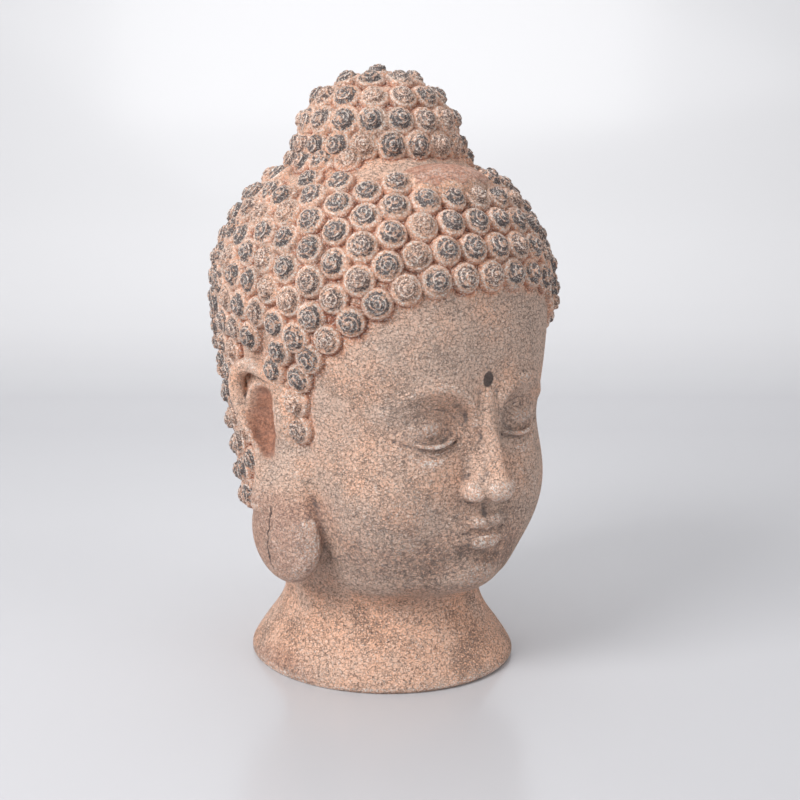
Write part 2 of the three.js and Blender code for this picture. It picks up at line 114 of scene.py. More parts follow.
def softbox(name, place, target, size, watts):
    light = bpy.data.lights.new(name, "AREA")
    light.shape = "RECTANGLE"
    light.size, light.size_y = size
    light.energy = watts
    holder = bpy.data.objects.new(name, light)
    bpy.context.scene.collection.objects.link(holder)
    holder.location = place
    holder.rotation_euler = (Vector(target) - Vector(place)).to_track_quat("-Z", "Y").to_euler()


def place_camera():
    camera = bpy.data.objects.new("camera", bpy.data.cameras.new("camera"))
    bpy.context.scene.collection.objects.link(camera)
    camera.data.sensor_width = SENSOR_WIDTH
    camera.data.lens = SENSOR_WIDTH * FOCAL_IN_FRAMES
    camera.data.shift_x = CAMERA_SHIFT
    camera.location = (CAMERA_AWAY * math.sin(CAMERA_TURN), -CAMERA_AWAY * math.cos(CAMERA_TURN), CAMERA_UP)
    camera.rotation_euler = (math.pi / 2 - CAMERA_DIP, 0, CAMERA_TURN)
    bpy.context.scene.camera = camera


make_sweep()
place_camera()
softbox("key_softbox", place=(-1.55, -0.15, 1.25), target=(0, 0, 0.2), size=(0.9, 0.9), watts=39)
softbox("fill_softbox", place=(0.7, -1.9, 0.9), target=(0, 0, 0.2), size=(1.2, 1.2), watts=14)
softbox("sky_softbox", place=(0.2, 0.3, 2.6), target=(0, 0.2, 0), size=(2.4, 2.4), watts=24)
softbox("backdrop_softbox", place=(0.6, 0.8, 1.7), target=(1.2, 1.6, 0.6), size=(1.6, 1.0), watts=9)
world = bpy.data.worlds.new("studio")
world.use_nodes = True
room_light = world.node_tree.nodes["Background"].inputs
room_light["Color"].default_value = (0.9, 0.9, 0.93, 1)
room_light["Strength"].default_value = 0.31
bpy.context.scene.world = world
bpy.context.scene.view_settings.view_transform = "Standard"

# ---- The casting's form: a bald head modelled up in clay for the mould, before the curls go on ----
# The neck is cut flat below, so that the head stands by its own weight.
# It is worked out as a field of distances, negative inside, on one half of the head, and mirrored.
CHIN = 65
HAIRLINE = 262
EYE_WIDTH = 35
CURL_RISE = 8.5
THIRD = (HAIRLINE - CHIN) / 3          # chin to nose, nose to brow and brow to hairline are equal
NOSE_BASE = CHIN + THIRD
BROW = CHIN + 2 * THIRD
MOUTH = NOSE_BASE - THIRD / 3
LASH = BROW - THIRD / 3
FRONT = [(0, 92), (3, 94.5), (16, 87), (30, 78), (42, 71.5), (50, 70), (58, 76), (65, 89), (74, 98),
         (90, 101.5), (109, 103), (152, 104.5), (174, 105.5), (196, 108.5), (215, 110.5), (235, 111.5),
         (252, 111.5)]
BACK = [(0, 96), (4, 95.5), (16, 88), (30, 78), (42, 72), (60, 73), (78, 80), (90, 90), (100, 95),
        (126, 100), (155, 105.5), (176, 109.5), (200, 113), (224, 115.5), (240, 116.5), (252, 116.5)]
SIDE = [(0, 89), (4, 88.5), (16, 81), (30, 71), (42, 66), (52, 66), (62, 69), (72, 74), (85, 80),
        (100, 84.5), (120, 87.5), (140, 89.5), (160, 91.5), (180, 94), (200, 97), (224, 101),
        (240, 103.3), (252, 103.8)]
SQUARE = [(0, 2), (45, 2), (70, 2.15), (100, 2.3), (150, 2.4), (200, 2.35), (250, 2.2), (300, 2.15)]
BACK_SQUARENESS = 0.6                  # the back of the head is rounder than the face by this
CROWN_FOOT, CROWN_RISE = 252, 97
KNOT_MIDDLE, KNOT_RADIUS, KNOT_DEPTH, KNOT_POWER = 340, 51, 1.03, 2.1
KNOT_BACK = 4
KNOT_RISE = HEIGHT - CURL_RISE - KNOT_MIDDLE
KNOT_JOIN = 11                         # how softly the topknot runs into the crown


def along(knots, z):
    """The smooth curve through (z, value) knots, at every z of an array."""
    knots = np.array(knots, float)
    at, value = knots[:, 0], knots[:, 1]
    slope = np.empty(len(at))
    slope[1:-1] = (value[2:] - value[:-2]) / (at[2:] - at[:-2])
    slope[0] = (value[1] - value[0]) / (at[1] - at[0])
    slope[-1] = (value[-1] - value[-2]) / (at[-1] - at[-2])
    i = np.clip(np.searchsorted(at, z, side="right") - 1, 0, len(at) - 2)
    span = at[i + 1] - at[i]
    t = np.clip((z - at[i]) / span, 0, 1)
    rise = t * t * (3 - 2 * t)
    return (value[i] * (1 - rise) + value[i + 1] * rise
            + span * t * (1 - t) * ((1 - t) * slope[i] - t * slope[i + 1]))


def join(a, b, soft):
    """Two forms as one, with a soft fillet where they meet."""
    h = np.clip(0.5 + 0.5 * (b - a) / soft, 0, 1)
    return b * (1 - h) + a * h - soft * h * (1 - h)


def skin(x, y, z):
    """The neck and the bald head, from the cut underside to the crown, without the topknot."""
    level = np.minimum(z, CROWN_FOOT)
    dome = np.sqrt(np.clip(1 - (np.maximum(z - CROWN_FOOT, 0) / CROWN_RISE) ** 2, 0.02, 1))
    deep = dome * np.where(y < 0, along(FRONT, level), along(BACK, level))
    wide = dome * along(SIDE, level)
    power = along(SQUARE, z)
    power = np.where(y < 0, power, 2 + (power - 2) * BACK_SQUARENESS)
    reach = (np.abs(x / wide) ** power + np.abs(y / deep) ** power + 1e-12) ** (1 / power)
    lean = np.where(z < CROWN_FOOT, (along(SIDE, level + 1) - along(SIDE, level - 1)) / 2,
                    np.minimum((z - CROWN_FOOT) * deep / (CROWN_RISE * dome) ** 2, 3))
    return (reach - 1) * np.sqrt(wide * deep) / np.hypot(1, lean)


def topknot(x, y, z):
    out = np.hypot(x, (y - KNOT_BACK) / KNOT_DEPTH) / KNOT_RADIUS
    up = np.abs(z - KNOT_MIDDLE) / KNOT_RISE
    return ((out ** KNOT_POWER + up ** KNOT_POWER + 1e-12) ** (1 / KNOT_POWER) - 1) * KNOT_RADIUS


def skull(x, y, z):
    """The neck, the head and the topknot: what the curls stand on."""
    knot = topknot(x, y, z)
    whole = join(skin(x, y, z), knot, KNOT_JOIN)
    return np.maximum(whole, np.where(z > KNOT_MIDDLE, knot, -1e3))


def lump(centre, radii, tilt=0):
    """An ellipsoid of clay turned about X by tilt degrees: its distances, and the box it lies in."""
    cos, sin = math.cos(math.radians(tilt)), math.sin(math.radians(tilt))

    def distance(x, y, z):
        dx, dy, dz = x - centre[0], y - centre[1], z - centre[2]
        u, v, w = dx / radii[0], (dy * cos + dz * sin) / radii[1], (dz * cos - dy * sin) / radii[2]
        near = np.sqrt(u * u + v * v + w * w)
        steep = np.sqrt((u / radii[0]) ** 2 + (v / radii[1]) ** 2 + (w / radii[2]) ** 2)
        return near * (near - 1) / (steep + 1e-6)
    reach = np.full(3, max(radii))
    return distance, np.array(centre) - reach, np.array(centre) + reach


def through(path, cuts):
    """Points along the smooth curve through those of path, with so many cuts between each two."""
    knots = np.array(path, float)
    ends = np.vstack([2 * knots[0] - knots[1], knots, 2 * knots[-1] - knots[-2]])
    points = []
    for a, b, c, d in zip(ends[:-3], ends[1:-2], ends[2:-1], ends[3:]):
        for t in np.arange(cuts) / cuts:
            points.append(0.5 * (2 * b + (c - a) * t + (2 * a - 5 * b + 4 * c - d) * t * t
                                 + (3 * b - a - 3 * c + d) * t ** 3))
    return np.array(points + [knots[-1]])


def roll(path, radii):
    """A round roll of clay along a smooth path, thick as the radii say from end to end."""
    points = through(path, 4)
    thick = np.interp(np.linspace(0, 1, len(points)), np.linspace(0, 1, len(radii)), radii)

    def distance(x, y, z):
        best = None
        for (ax, ay, az), (bx, by, bz), start, end in zip(points[:-1], points[1:], thick[:-1], thick[1:]):
            dx, dy, dz = bx - ax, by - ay, bz - az
            t = ((x - ax) * dx + (y - ay) * dy + (z - az) * dz) / (dx * dx + dy * dy + dz * dz)
            t = np.clip(t, 0, 1)
            off = np.sqrt((x - ax - t * dx) ** 2 + (y - ay - t * dy) ** 2 + (z - az - t * dz) ** 2)
            off = off - (start + (end - start) * t)
            best = off if best is None else np.minimum(best, off)
        return best
    return distance, points.min(0) - max(radii), points.max(0) + max(radii)


class Clay:
    """A block of clay: distances on a grid, to which forms are added and from which they are dug."""

    def __init__(self, low, high, step):
        self.step, self.low = step, np.array(low, float)
        counts = [int(round((b - a) / step)) + 1 for a, b in zip(low, high)]
        self.axes = [self.low[i] + step * np.arange(counts[i]) for i in range(3)]
        x, y, z = self.axes
        self.field = skull(x[:, None, None], y[None, :, None], z[None, None, :]).astype(np.float32)

    def work(self, form, soft, combine):
        distance, low, high = form
        first = np.maximum(((low - soft * 2 - self.low) / self.step).astype(int), 0)
        last = np.maximum(((high + soft * 2 - self.low) / self.step).astype(int) + 2, first + 1)
        part = tuple(slice(a, b) for a, b in zip(first, last))
        x, y, z = (axis[cut] for axis, cut in zip(self.axes, part))
        if min(len(x), len(y), len(z)) == 0:
            return
        shape = distance(x[:, None, None], y[None, :, None], z[None, None, :])
        self.field[part] = combine(self.field[part], shape)

    def add(self, form, soft):
        self.work(form, soft, lambda clay, shape: join(clay, shape, soft))

    def dig(self, form, soft):
        self.work(form, soft, lambda clay, shape: -join(-clay, shape, soft))

    def scribe(self, path, width, depth):
        """Draws a line into the front of the face, as deep as it says wherever the clay lies."""
        points = through(path, 6)
        across, up = self.axes[0][:, None], self.axes[2][None, :]
        best = None
        for (ax, az), (bx, bz) in zip(points[:-1], points[1:]):
            dx, dz = bx - ax, bz - az
            t = np.clip(((across - ax) * dx + (up - az) * dz) / (dx * dx + dz * dz), 0, 1)
            off = np.hypot(across - ax - t * dx, up - az - t * dz)
            best = off if best is None else np.minimum(best, off)
        line = (depth * np.exp(-(best / width) ** 2)).astype(np.float32)
        self.field[:, self.axes[1] < FACE_FRONT] += line[:, None, :]


FACE_FRONT = -60                       # lines are drawn only on what lies forward of this
GRID = 0.9      # from each measured distance to the next
clay = Clay(low=(-2 * GRID, -136, -3), high=(122, 130, 398), step=GRID)

# The smooth oval boss at the front foot of the topknot
clay.add(lump((0, -61, 321.5), (38, 24, 15.5)), 2)

# Cheeks, mouth and chin
clay.add(lump((38, -62, 130), (38, 37, 42)), 20)
clay.add(lump((0, -84, MOUTH), (32, 23, 27)), 14)
clay.add(lump((0, -84, CHIN + 14), (22, 19.5, 14)), 12)
clay.dig(roll([(-14, -107, 93), (0, -109, 92.5), (14, -107, 93)], [3, 4, 3]), 7)

# Eye sockets under arched brows, which run down into the bridge of the nose
clay.dig(lump((EYE_WIDTH - 1, -119, LASH + 5), (27, 22, 17)), 8)
clay.add(roll([(8, -107.5, 180), (10.5, -108, 190), (19, -107, BROW + 3), (EYE_WIDTH, -103.5, BROW + 7),
               (50, -96, BROW + 3), (63, -85.5, BROW - 8)], [2.6, 3, 3.2, 3.2, 2.8, 1]), 7)

# Nose: a broad body under a narrow straight ridge, with a round tip, wings and nostrils
clay.add(roll([(0, -99, 192), (0, -101, LASH), (0, -105, 156), (0, -108, NOSE_BASE + 9)],
              [8, 8.5, 10.5, 12.5]), 6)
clay.add(roll([(0, -106.5, BROW - 2), (0, -111.5, LASH + 2), (0, -118, 156), (0, -121.5, NOSE_BASE + 11)],
              [4.6, 4.4, 5, 6.4]), 5)
clay.add(lump((0, -120.5, NOSE_BASE + 8), (10, 10, 8.4)), 4)
clay.add(lump((EYE_WIDTH * 0.35, -111, NOSE_BASE + 6), (6.4, 10, 6.8)), 3.5)
clay.dig(lump((6.2, -117.5, NOSE_BASE - 1), (2.9, 4.6, 3)), 1.4)

# Eyes cast down: a full upper lid over a narrow lower one
clay.add(lump((EYE_WIDTH - 0.5, -79.5, LASH + 1.5), (24.5, 21.3, 17.5)), 2.2)
clay.add(lump((EYE_WIDTH - 0.5, -79, LASH - 7), (22, 19.5, 10)), 3)
LASH_LINE = [(15.5, -97, LASH - 3.5), (24, -101.6, LASH - 6.6), (EYE_WIDTH, -102.6, LASH - 8.2),
             (45, -98.8, LASH - 7), (55, -89.5, LASH - 2.5)]
clay.add(roll(LASH_LINE, [0.6, 1.5, 1.8, 1.6, 0.6]), 1.2)
clay.dig(roll([(x, y - 1.4, z - 2.2) for x, y, z in LASH_LINE], [-0.8, 0.9, 1, 0.9, -0.8]), 1.2)

# The crease over each lid, the slit under it, the fold below, and a crisp upper edge to the brows
clay.scribe([(15, LASH + 3), (23, LASH + 11.5), (EYE_WIDTH, LASH + 15), (47, LASH + 11.5),
             (58, LASH + 1)], width=1.4, depth=0.6)
clay.scribe([(17, LASH - 6), (23, LASH - 9), (EYE_WIDTH, LASH - 11.2), (46, LASH - 9.5),
             (58, LASH - 4)], width=1.5, depth=1.0)
clay.scribe([(18, LASH - 9), (25, LASH - 13), (EYE_WIDTH, LASH - 14.6), (45, LASH - 13),
             (53, LASH - 9)], width=1.1, depth=0.6)
clay.scribe([(8.5, BROW - 12), (12, BROW - 1), (21, BROW + 7.5), (EYE_WIDTH, BROW + 11.5), (51, BROW + 8),
             (66, BROW - 5)], width=1.3, depth=0.5)

# Lips
clay.dig(roll([(0, -108.5, NOSE_BASE - 4), (0, -110.5, MOUTH + 9)], [2, 2.2]), 3)
clay.add(roll([(26, -96, MOUTH + 1.6), (17, -102.5, MOUTH + 3.4), (8, -108, MOUTH + 6.2),
               (-2, -108.4, MOUTH + 4.2)], [0.8, 3, 4.2, 3.8]), 2)
clay.add(roll([(25, -96, MOUTH - 0.4), (15, -103, MOUTH - 4.6), (6, -107.5, MOUTH - 6.4),
               (-6, -107.5, MOUTH - 6.4)], [0.8, 3.8, 5.2, 5.4]), 2.4)
clay.dig(roll([(28.5, -98.5, MOUTH + 3.6), (17, -105.8, MOUTH - 0.2), (8, -111.3, MOUTH + 0.2),
               (0, -112.4, MOUTH - 0.8), (-8, -111.3, MOUTH + 0.2)], [-0.6, 1.0, 0.9, 0.9]), 1.8)

# Ears: a rolled rim round a teardrop hollow, drawn down into a long hanging lobe
EAR_HOLLOW = roll([(106, -10, 189), (106, -9, 180), (104, -11, 169), (101, -13, 157)], [9.5, 11.5, 9.5, 4])
clay.add(lump((90, -6, 182), (13, 31, 33)), 5)
clay.add(roll([(94, -26, 197), (101, -13, 206.5), (104, 3, 210.5), (105, 15, 204), (105.5, 15.5, 192),
               (104.5, 9, 178), (102, -1, 165), (99, -6, 152), (97, -6, 138), (95, -4, 122)],
              [3.5, 4.5, 5.2, 5.4, 5.4, 5.2, 5, 5.5, 8, 12]), 3)
clay.add(roll([(97, -18, 196), (100, -8, 199), (102, 2, 195), (102, 5, 184), (101, 0, 170)],
              [2, 2.6, 2.8, 2.6, 1.5]), 3)
clay.add(lump((90, -16, 101), (14, 35, 32), 6), 7)
clay.add(lump((88, -14, 136), (12, 26, 32)), 9)
clay.dig(EAR_HOLLOW, 3)


BAND = 3.0                             # the mesher reads distances up to this far from the surface


def mesh_from(block, name):
    """The block's surface as a mesh of the whole head, cut flat at the underside."""
    half = block.field[int(round(-block.low[0] / block.step)):]
    full = np.concatenate([half[:0:-1], half])
    full = np.maximum(full, -block.axes[2][None, None, :])
    grid = openvdb.FloatGrid(background=BAND)
    grid.copyFromArray(np.clip(full, -BAND, BAND).astype(np.float32))
    points, triangles, quads = grid.convertToPolygons(isovalue=0.0, adaptivity=0.0)
    points = points * block.step + np.array([-(len(half) - 1) * block.step, block.low[1], block.low[2]])
    mesh = bpy.data.meshes.new(name)
    mesh.from_pydata((points * MM).tolist(), [], triangles.tolist() + quads.tolist())
    mesh.validate()
    piece = bpy.data.objects.new(name, mesh)
    bpy.context.scene.collection.objects.link(piece)
    return piece


def only(piece):
    """Selects this piece alone and makes it active."""
    bpy.ops.object.select_all(action="DESELECT")
    piece.select_set(True)
    bpy.context.view_layer.objects.active = piece


BODY_TRIANGLES = 100000
head = mesh_from(clay, "buddha_head_casting")
only(head)
thin = head.modifiers.new("thin", "DECIMATE")
thin.ratio = BODY_TRIANGLES / sum(len(face.vertices) - 2 for face in head.data.polygons)
bpy.ops.object.modifier_apply(modifier="thin")

# ---- Curls: each is a stub pressed like a snail shell, set in rows that follow the hairline ----
# All are from one model, turned, tipped and sized a little differently.
# They are fused to the head, because the real ones come out of the mould in one casting with it.
CURL_WIDTH = 19
ROW_STEP = 17.4
CLOSEST = 13.2                         # no two curls stand nearer than this
HAIR_EDGE = [(0, HAIRLINE + 8.5), (20, 269), (29, 265), (38, 257), (46, 246), (55, 233), (60, 221),
             (64, 207), (68, 191), (74, 173), (82, 153), (95, 132), (115, 115), (140, 106), (180, 103)]
SIDEBURN = [(61.5, 221), (66.3, 207.5), (69, 191), (68.5, 174), (74, 224), (78.5, 211)]
BESIDE_BOSS = math.radians(40)         # the lowest ring of the topknot starts this far round from the front
KNOT_RINGS = [(333, 19), (348, 19), (363, 17), (377, 13), (387.5, 7)]
ROWS = 16
LINE_STEP, FINE_STEP = 4, 0.5
CLEAR_OF_EAR, CLEAR_OF_BOSS = 3, 7     # a curl may be buried this deep: it laps over the foot of the boss
FOOT_RING = 6                          # how far round a curl's middle its ground is looked at
ROWS_TOP, LINE_TOP = 327, CROWN_FOOT + CROWN_RISE - 6
rng = np.random.default_rng(7)


def slope_of(field, p):
    """How the field rises along X, Y and Z at each point."""
    rises = [field(*(p + step).T) - field(*(p - step).T) for step in np.eye(3) * 0.5]
    return np.stack(rises, -1)


def onto(field, p, passes=6):
    """The points moved onto the surface where the field is 0."""
    for _ in range(passes):
        slope = slope_of(field, p)
        p = p - slope * (field(*p.T) / (slope ** 2).sum(-1))[:, None]
    return p


def unit(v):
    return v / np.linalg.norm(v, axis=-1, keepdims=True)


def bare_foot(turn, z):
    """The point of the skin in a direction round from the front, at a height."""
    way = np.array([math.sin(math.radians(turn)), -math.cos(math.radians(turn)), 0])
    inside, outside = 5.0, 140.0
    for _ in range(24):
        middle = (inside + outside) / 2
        if skin(*(way * middle + (0, 0, z))) > 0:
            outside = middle
        else:
            inside = middle
    return way * inside + (0, 0, z)


def clay_at(points):
    """The modelled head's distance at each point, from the grid."""
    at = (np.abs(points) * (1, 0, 0) + points * (0, 1, 1) - clay.low) / clay.step
    cell = np.clip(at.astype(int), 0, np.array(clay.field.shape) - 2)
    t = np.clip(at - cell, 0, 1)
    total = 0
    for corner in np.ndindex(2, 2, 2):
        weight = np.prod(np.where(corner, t, 1 - t), -1)
        total = total + weight * clay.field[tuple((cell + corner).T)]
    return total


curl_feet, curl_ways = [], []


def set_curl(foot, anywhere=False):
    """Puts a curl and its mirror image on the scalp, unless the ear, the boss or a curl is in the way."""
    foot = onto(skull, foot[None])[0]
    if curl_feet and min(np.linalg.norm(np.array(curl_feet) - foot, axis=1)) < CLOSEST:
        return
    way = unit(slope_of(skull, foot[None]))[0]
    level = unit(np.cross((0.02, 0, 1), way))        # nearly level, and never lost where the way is upright
    angles = np.radians(np.arange(0, 360, 60))[:, None]
    round_it = foot + FOOT_RING * (np.cos(angles) * level + np.sin(angles) * np.cross(way, level))
    clear = CLEAR_OF_BOSS if foot[2] > CROWN_FOOT else CLEAR_OF_EAR
    if not anywhere and (clay_at(np.vstack([round_it, foot]) + way * clear) < 0).any():
        return
    for side in (1, -1):
        curl_feet.append(foot * (side, 1, 1))
        curl_ways.append(way * (side, 1, 1))
        if foot[0] < CLOSEST / 2:
            curl_feet[-1][0] = 0
            return


def comb(line, spacing):
    """The line as evenly spaced points."""
    along_it = np.concatenate([[0], np.cumsum(np.linalg.norm(np.diff(line, axis=0), axis=1))])
    count = max(round(along_it[-1] / spacing), 2)
    at = np.linspace(0, along_it[-1], count + 1)
    return np.stack([np.interp(at, along_it, line[:, i]) for i in range(3)], -1)


def next_row(line, stages=4):
    """The row one ROW_STEP further up the scalp, square to this one all along."""
    for _ in range(stages):
        ahead = np.vstack([line[1:], line[-1:]]) - np.vstack([line[:1], line[:-1]])
        uphill = unit(np.cross(slope_of(skin, line), ahead))
        line = onto(skin, line + uphill * ROW_STEP / stages, 1)
        line[1:-1] = (line[:-2] + 2 * line[1:-1] + line[2:]) / 4
        line = line[(line[:, 0] > -0.5) & (line[:, 2] < LINE_TOP)]
        if len(line) < 4:
            return None
        line = comb(line, LINE_STEP)
        for end in (0, -1):
            if line[end, 0] < LINE_STEP:
                line[end, 0] = 0
    return line


# The rings of the topknot, from the top one down, and the curl on its very top
for tier, (height, count) in reversed(list(enumerate(KNOT_RINGS))):
    share = max(1 - (abs(height - KNOT_MIDDLE) / KNOT_RISE) ** KNOT_POWER, 0)
    reach = KNOT_RADIUS * share ** (1 / KNOT_POWER)
    for i in range(count // 2 + 1):
        turn = math.radians((i + tier % 2 / 2) * 360 / count)
        if (BESIDE_BOSS if tier == 0 else 0) <= turn <= math.pi + 0.001:
            ahead = reach * KNOT_DEPTH * math.cos(turn)
            set_curl(np.array([reach * math.sin(turn), KNOT_BACK - ahead, height]))
curl_feet.append(np.array([0, KNOT_BACK, HEIGHT - CURL_RISE]))
curl_ways.append(np.array([0, 0, 1.0]))

# The sideburns, then row after row from the hairline up, every other row half a curl along
for turn, z in SIDEBURN:
    set_curl(bare_foot(turn, z), anywhere=True)
row = comb(through([bare_foot(turn, z) for turn, z in HAIR_EDGE], 8), LINE_STEP)
for k in range(ROWS):
    length = np.linalg.norm(np.diff(row, axis=0), axis=1).sum()
    start = CURL_WIDTH / 2 if row[0, 0] < 1 and k % 2 else 0
    count = round((length - start) / CURL_WIDTH)
    fine = comb(row, FINE_STEP)
    for i in range(count + 1):
        place = (start + i * (length - start) / count) / length
        foot = fine[min(round(place * (len(fine) - 1)), len(fine) - 1)]
        if foot[2] < ROWS_TOP:
            set_curl(foot)
    row = next_row(row)
    if row is None:
        break
curl_feet, curl_ways = np.array(curl_feet), np.array(curl_ways)

SPOKES = 12
STEPS = 25                             # twelfths of a turn from the outer end of the coil to its middle
SUNK, FOOT, LEDGE = (11, -3), (10.6, 0.5), (8.9, 3.6)       # radius and height of each ring of the stub
COIL_RADIUS, COIL_IN, COIL_EVENNESS = 7.5, 5.9, 0.92
COIL_PEAK, COIL_FALL, COIL_START = 8.3, 2.9, 1.2
CREST_RISE, CREST_IN, GROOVE_DROP, WALL_LEAN = 0.3, 0.6, 0.9, 0.5


def model_curl():
    """One curl standing on the origin: a round foot with a ledge, and a coil that climbs on it to a peak."""
    points, faces = [], []

    def put(i, radius, z):
        angle = 2 * math.pi * i / SPOKES
        points.append((radius * math.cos(angle), radius * math.sin(angle), z))
        return len(points) - 1

    def coil_radius(i):
        return COIL_RADIUS - COIL_IN * (i / STEPS) ** COIL_EVENNESS

    def coil_top(i):
        start = min(i / 4, 1)
        return COIL_PEAK - COIL_FALL * (coil_radius(i) / COIL_RADIUS) ** 2 - COIL_START * (1 - start) ** 2
    sunk = [put(k, *SUNK) for k in range(SPOKES)]
    foot = [put(k, *FOOT) for k in range(SPOKES)]
    ledge = [put(k, *LEDGE) for k in range(SPOKES)]
    inner = [put(k, coil_radius(k) + WALL_LEAN, LEDGE[1] - 0.1) for k in range(SPOKES)]
    wall = [put(i, coil_radius(i), max(coil_top(i) - GROOVE_DROP, LEDGE[1])) for i in range(STEPS + 1)]
    crest = [put(i, coil_radius(i) - CREST_IN, coil_top(i) + CREST_RISE) for i in range(STEPS + 1)]
    last = STEPS - SPOKES
    groove = [put(i, coil_radius(i + SPOKES) + WALL_LEAN, coil_top(i + SPOKES) - GROOVE_DROP)
              for i in range(last + 1)]
    peak = put(0, 0, coil_top(STEPS) + 0.2)
    for lower, upper in ((sunk, foot), (foot, ledge), (ledge, inner)):
        for k in range(SPOKES):
            after = (k + 1) % SPOKES
            faces.append((lower[k], lower[after], upper[after], upper[k]))
    for k in range(SPOKES - 1):
        faces.append((inner[k], inner[k + 1], wall[k + 1], wall[k]))
    for i in range(STEPS):
        faces.append((wall[i], wall[i + 1], crest[i + 1], crest[i]))
    for i in range(last):
        faces.append((crest[i], crest[i + 1], groove[i + 1], groove[i]))
        faces.append((groove[i], groove[i + 1], wall[i + 1 + SPOKES], wall[i + SPOKES]))
    faces.append((inner[-1], inner[0], wall[0], crest[0], groove[0], wall[SPOKES], wall[SPOKES - 1]))
    rim = crest[last:] + [wall[STEPS], groove[last]]
    faces += [(a, b, peak) for a, b in zip(rim, rim[1:] + rim[:1])]
    faces.append(tuple(reversed(sunk)))
    crown, edge = np.zeros(len(points)), np.zeros(len(points))
    crown[wall + crest + groove + [peak]] = 1
    edge[crest + ledge] = 1
    return np.array(points), faces, crown, edge


def curl_groups():
    """Numbers for the curls so that no two touching ones share a number."""
    group = []
    for i, foot in enumerate(curl_feet):
        near = np.linalg.norm(curl_feet[:i] - foot, axis=1) < CURL_WIDTH * 1.4 if i else []
        taken = {group[j] for j in np.flatnonzero(near)}
        group.append(next(number for number in range(20) if number not in taken))
    return np.array(group)


TIP_SPREAD, SIZES, SHADES = 0.07, (0.94, 1.05), (0.3, 0.85)


def fuse_curls():
    """Fuses the curls to the head. Returns their points, each with its crown, coil edge and shade."""
    pattern, faces, crown, edge = model_curl()
    groups = curl_groups()
    painted = []
    for number in range(groups.max() + 1):
        points, all_faces = [], []
        for foot, way in zip(curl_feet[groups == number], curl_ways[groups == number]):
            spin, tip = rng.uniform(0, 2 * math.pi), rng.normal(0, TIP_SPREAD)
            lean, size = rng.uniform(0, 2 * math.pi), rng.uniform(*SIZES)
            stand = Vector((0, 0, 1)).rotation_difference(Vector(way)).to_matrix()
            turn = (stand @ Matrix.Rotation(tip, 3, (math.cos(lean), math.sin(lean), 0))
                    @ Matrix.Rotation(spin, 3, "Z"))
            placed = pattern * size @ np.array(turn).T + foot
            all_faces += [tuple(len(points) * len(pattern) + i for i in face) for face in faces]
            points.append(placed)
            shade = np.full(len(pattern), rng.uniform(*SHADES))
            painted.append(np.column_stack([placed, crown, edge, shade]))
        mesh = bpy.data.meshes.new("curls")
        mesh.from_pydata((np.vstack(points) * MM).tolist(), [], all_faces)
        curls = bpy.data.objects.new("curls", mesh)
        bpy.context.scene.collection.objects.link(curls)
        only(head)
        fuse = head.modifiers.new("fuse", "BOOLEAN")
        fuse.operation, fuse.solver, fuse.object = "UNION", "MANIFOLD", curls
        bpy.ops.object.modifier_apply(modifier="fuse")
        bpy.data.objects.remove(curls)
    return np.vstack(painted)


curl_points = fuse_curls()

# ---- Paint: terracotta coats that crackled as they dried, greyed on the curls and pale on the edges ----
# Orange is left in the hollows and darkened as painted shade at the bottom of the furrows; slate grey is
# rubbed on the crowns of the curls and into the lower face.
# The brushwork goes by the form, so the head's points first get the measures that the coats read.
only(head)
bpy.ops.object.shade_smooth()
mesh = head.data
count = len(mesh.vertices)
place, normal = np.empty(count * 3), np.empty(count * 3)
mesh.vertices.foreach_get("co", place)
mesh.vertices.foreach_get("normal", normal)
place, normal = place.reshape(-1, 3) / MM, normal.reshape(-1, 3)
aside, ahead, up = np.abs(place[:, 0]), place[:, 1], place[:, 2]


def smoothly(low_end, high_end, value):
    t = np.clip((value - low_end) / (high_end - low_end), 0, 1)
    return t * t * (3 - 2 * t)


def spread(values, passes):
    """Values averaged with those of the neighbouring points, so many times over."""
    ends = np.empty(len(mesh.edges) * 2, dtype=np.int32)
    mesh.edges.foreach_get("vertices", ends)
    first, second = ends.reshape(-1, 2).T
    shared = np.bincount(first, minlength=count) + np.bincount(second, minlength=count) + 1.0
    for _ in range(passes):
        total = values.copy()
        np.add.at(total, first, values[second])
        np.add.at(total, second, values[first])
        values = total / (shared[:, None] if values.ndim > 1 else shared)
    return values


def finder(points):
    tree = KDTree(len(points))
    for i, point in enumerate(points):
        tree.insert(point, i)
    tree.balance()
    return tree


def keep(name, values):
    measure = mesh.attributes.new(name, "FLOAT", "POINT")
    measure.data.foreach_set("value", np.ascontiguousarray(values, dtype=np.float32))


# The curls: their dark crowns, the edges of their coils, and the furrows between them
CROWN_EDGE = (5.4, 9.2)                # the dark of a crown fades out this far from the curl's middle
HAIR_EDGE_OFF = (11, 14)
FURROW_HEIGHT, FURROW_OFF = (0.2, 3.6), (10, 12)
SAME_POINT = 0.05
all_curl_points = finder(curl_points[:, :3])
nearest = [all_curl_points.find(point) for point in place]
match = np.array([i for _, i, _ in nearest])
same = np.array([off for _, _, off in nearest]) < SAME_POINT
middles = finder(curl_feet)
to_curl = np.array([middles.find(point)[2] for point in place])
above = skull(*place.T)
from_middle = np.sqrt(np.maximum(to_curl ** 2 - above ** 2, 0))
hair = 1 - smoothly(*HAIR_EDGE_OFF, to_curl)
keep("crown", np.where(same, 1 - smoothly(*CROWN_EDGE, from_middle), 0))
keep("coil_edge", np.where(same, curl_points[match, 4], 0))
keep("shade", np.where(hair > 0, curl_points[match, 5], 0.5))
keep("hair", hair)
# How deep a point lies in a furrow: for the orange there, and for the painted shade at its bottom
keep("furrow", hair * (1 - smoothly(*FURROW_HEIGHT, above)) * (1 - smoothly(*FURROW_OFF, to_curl)))

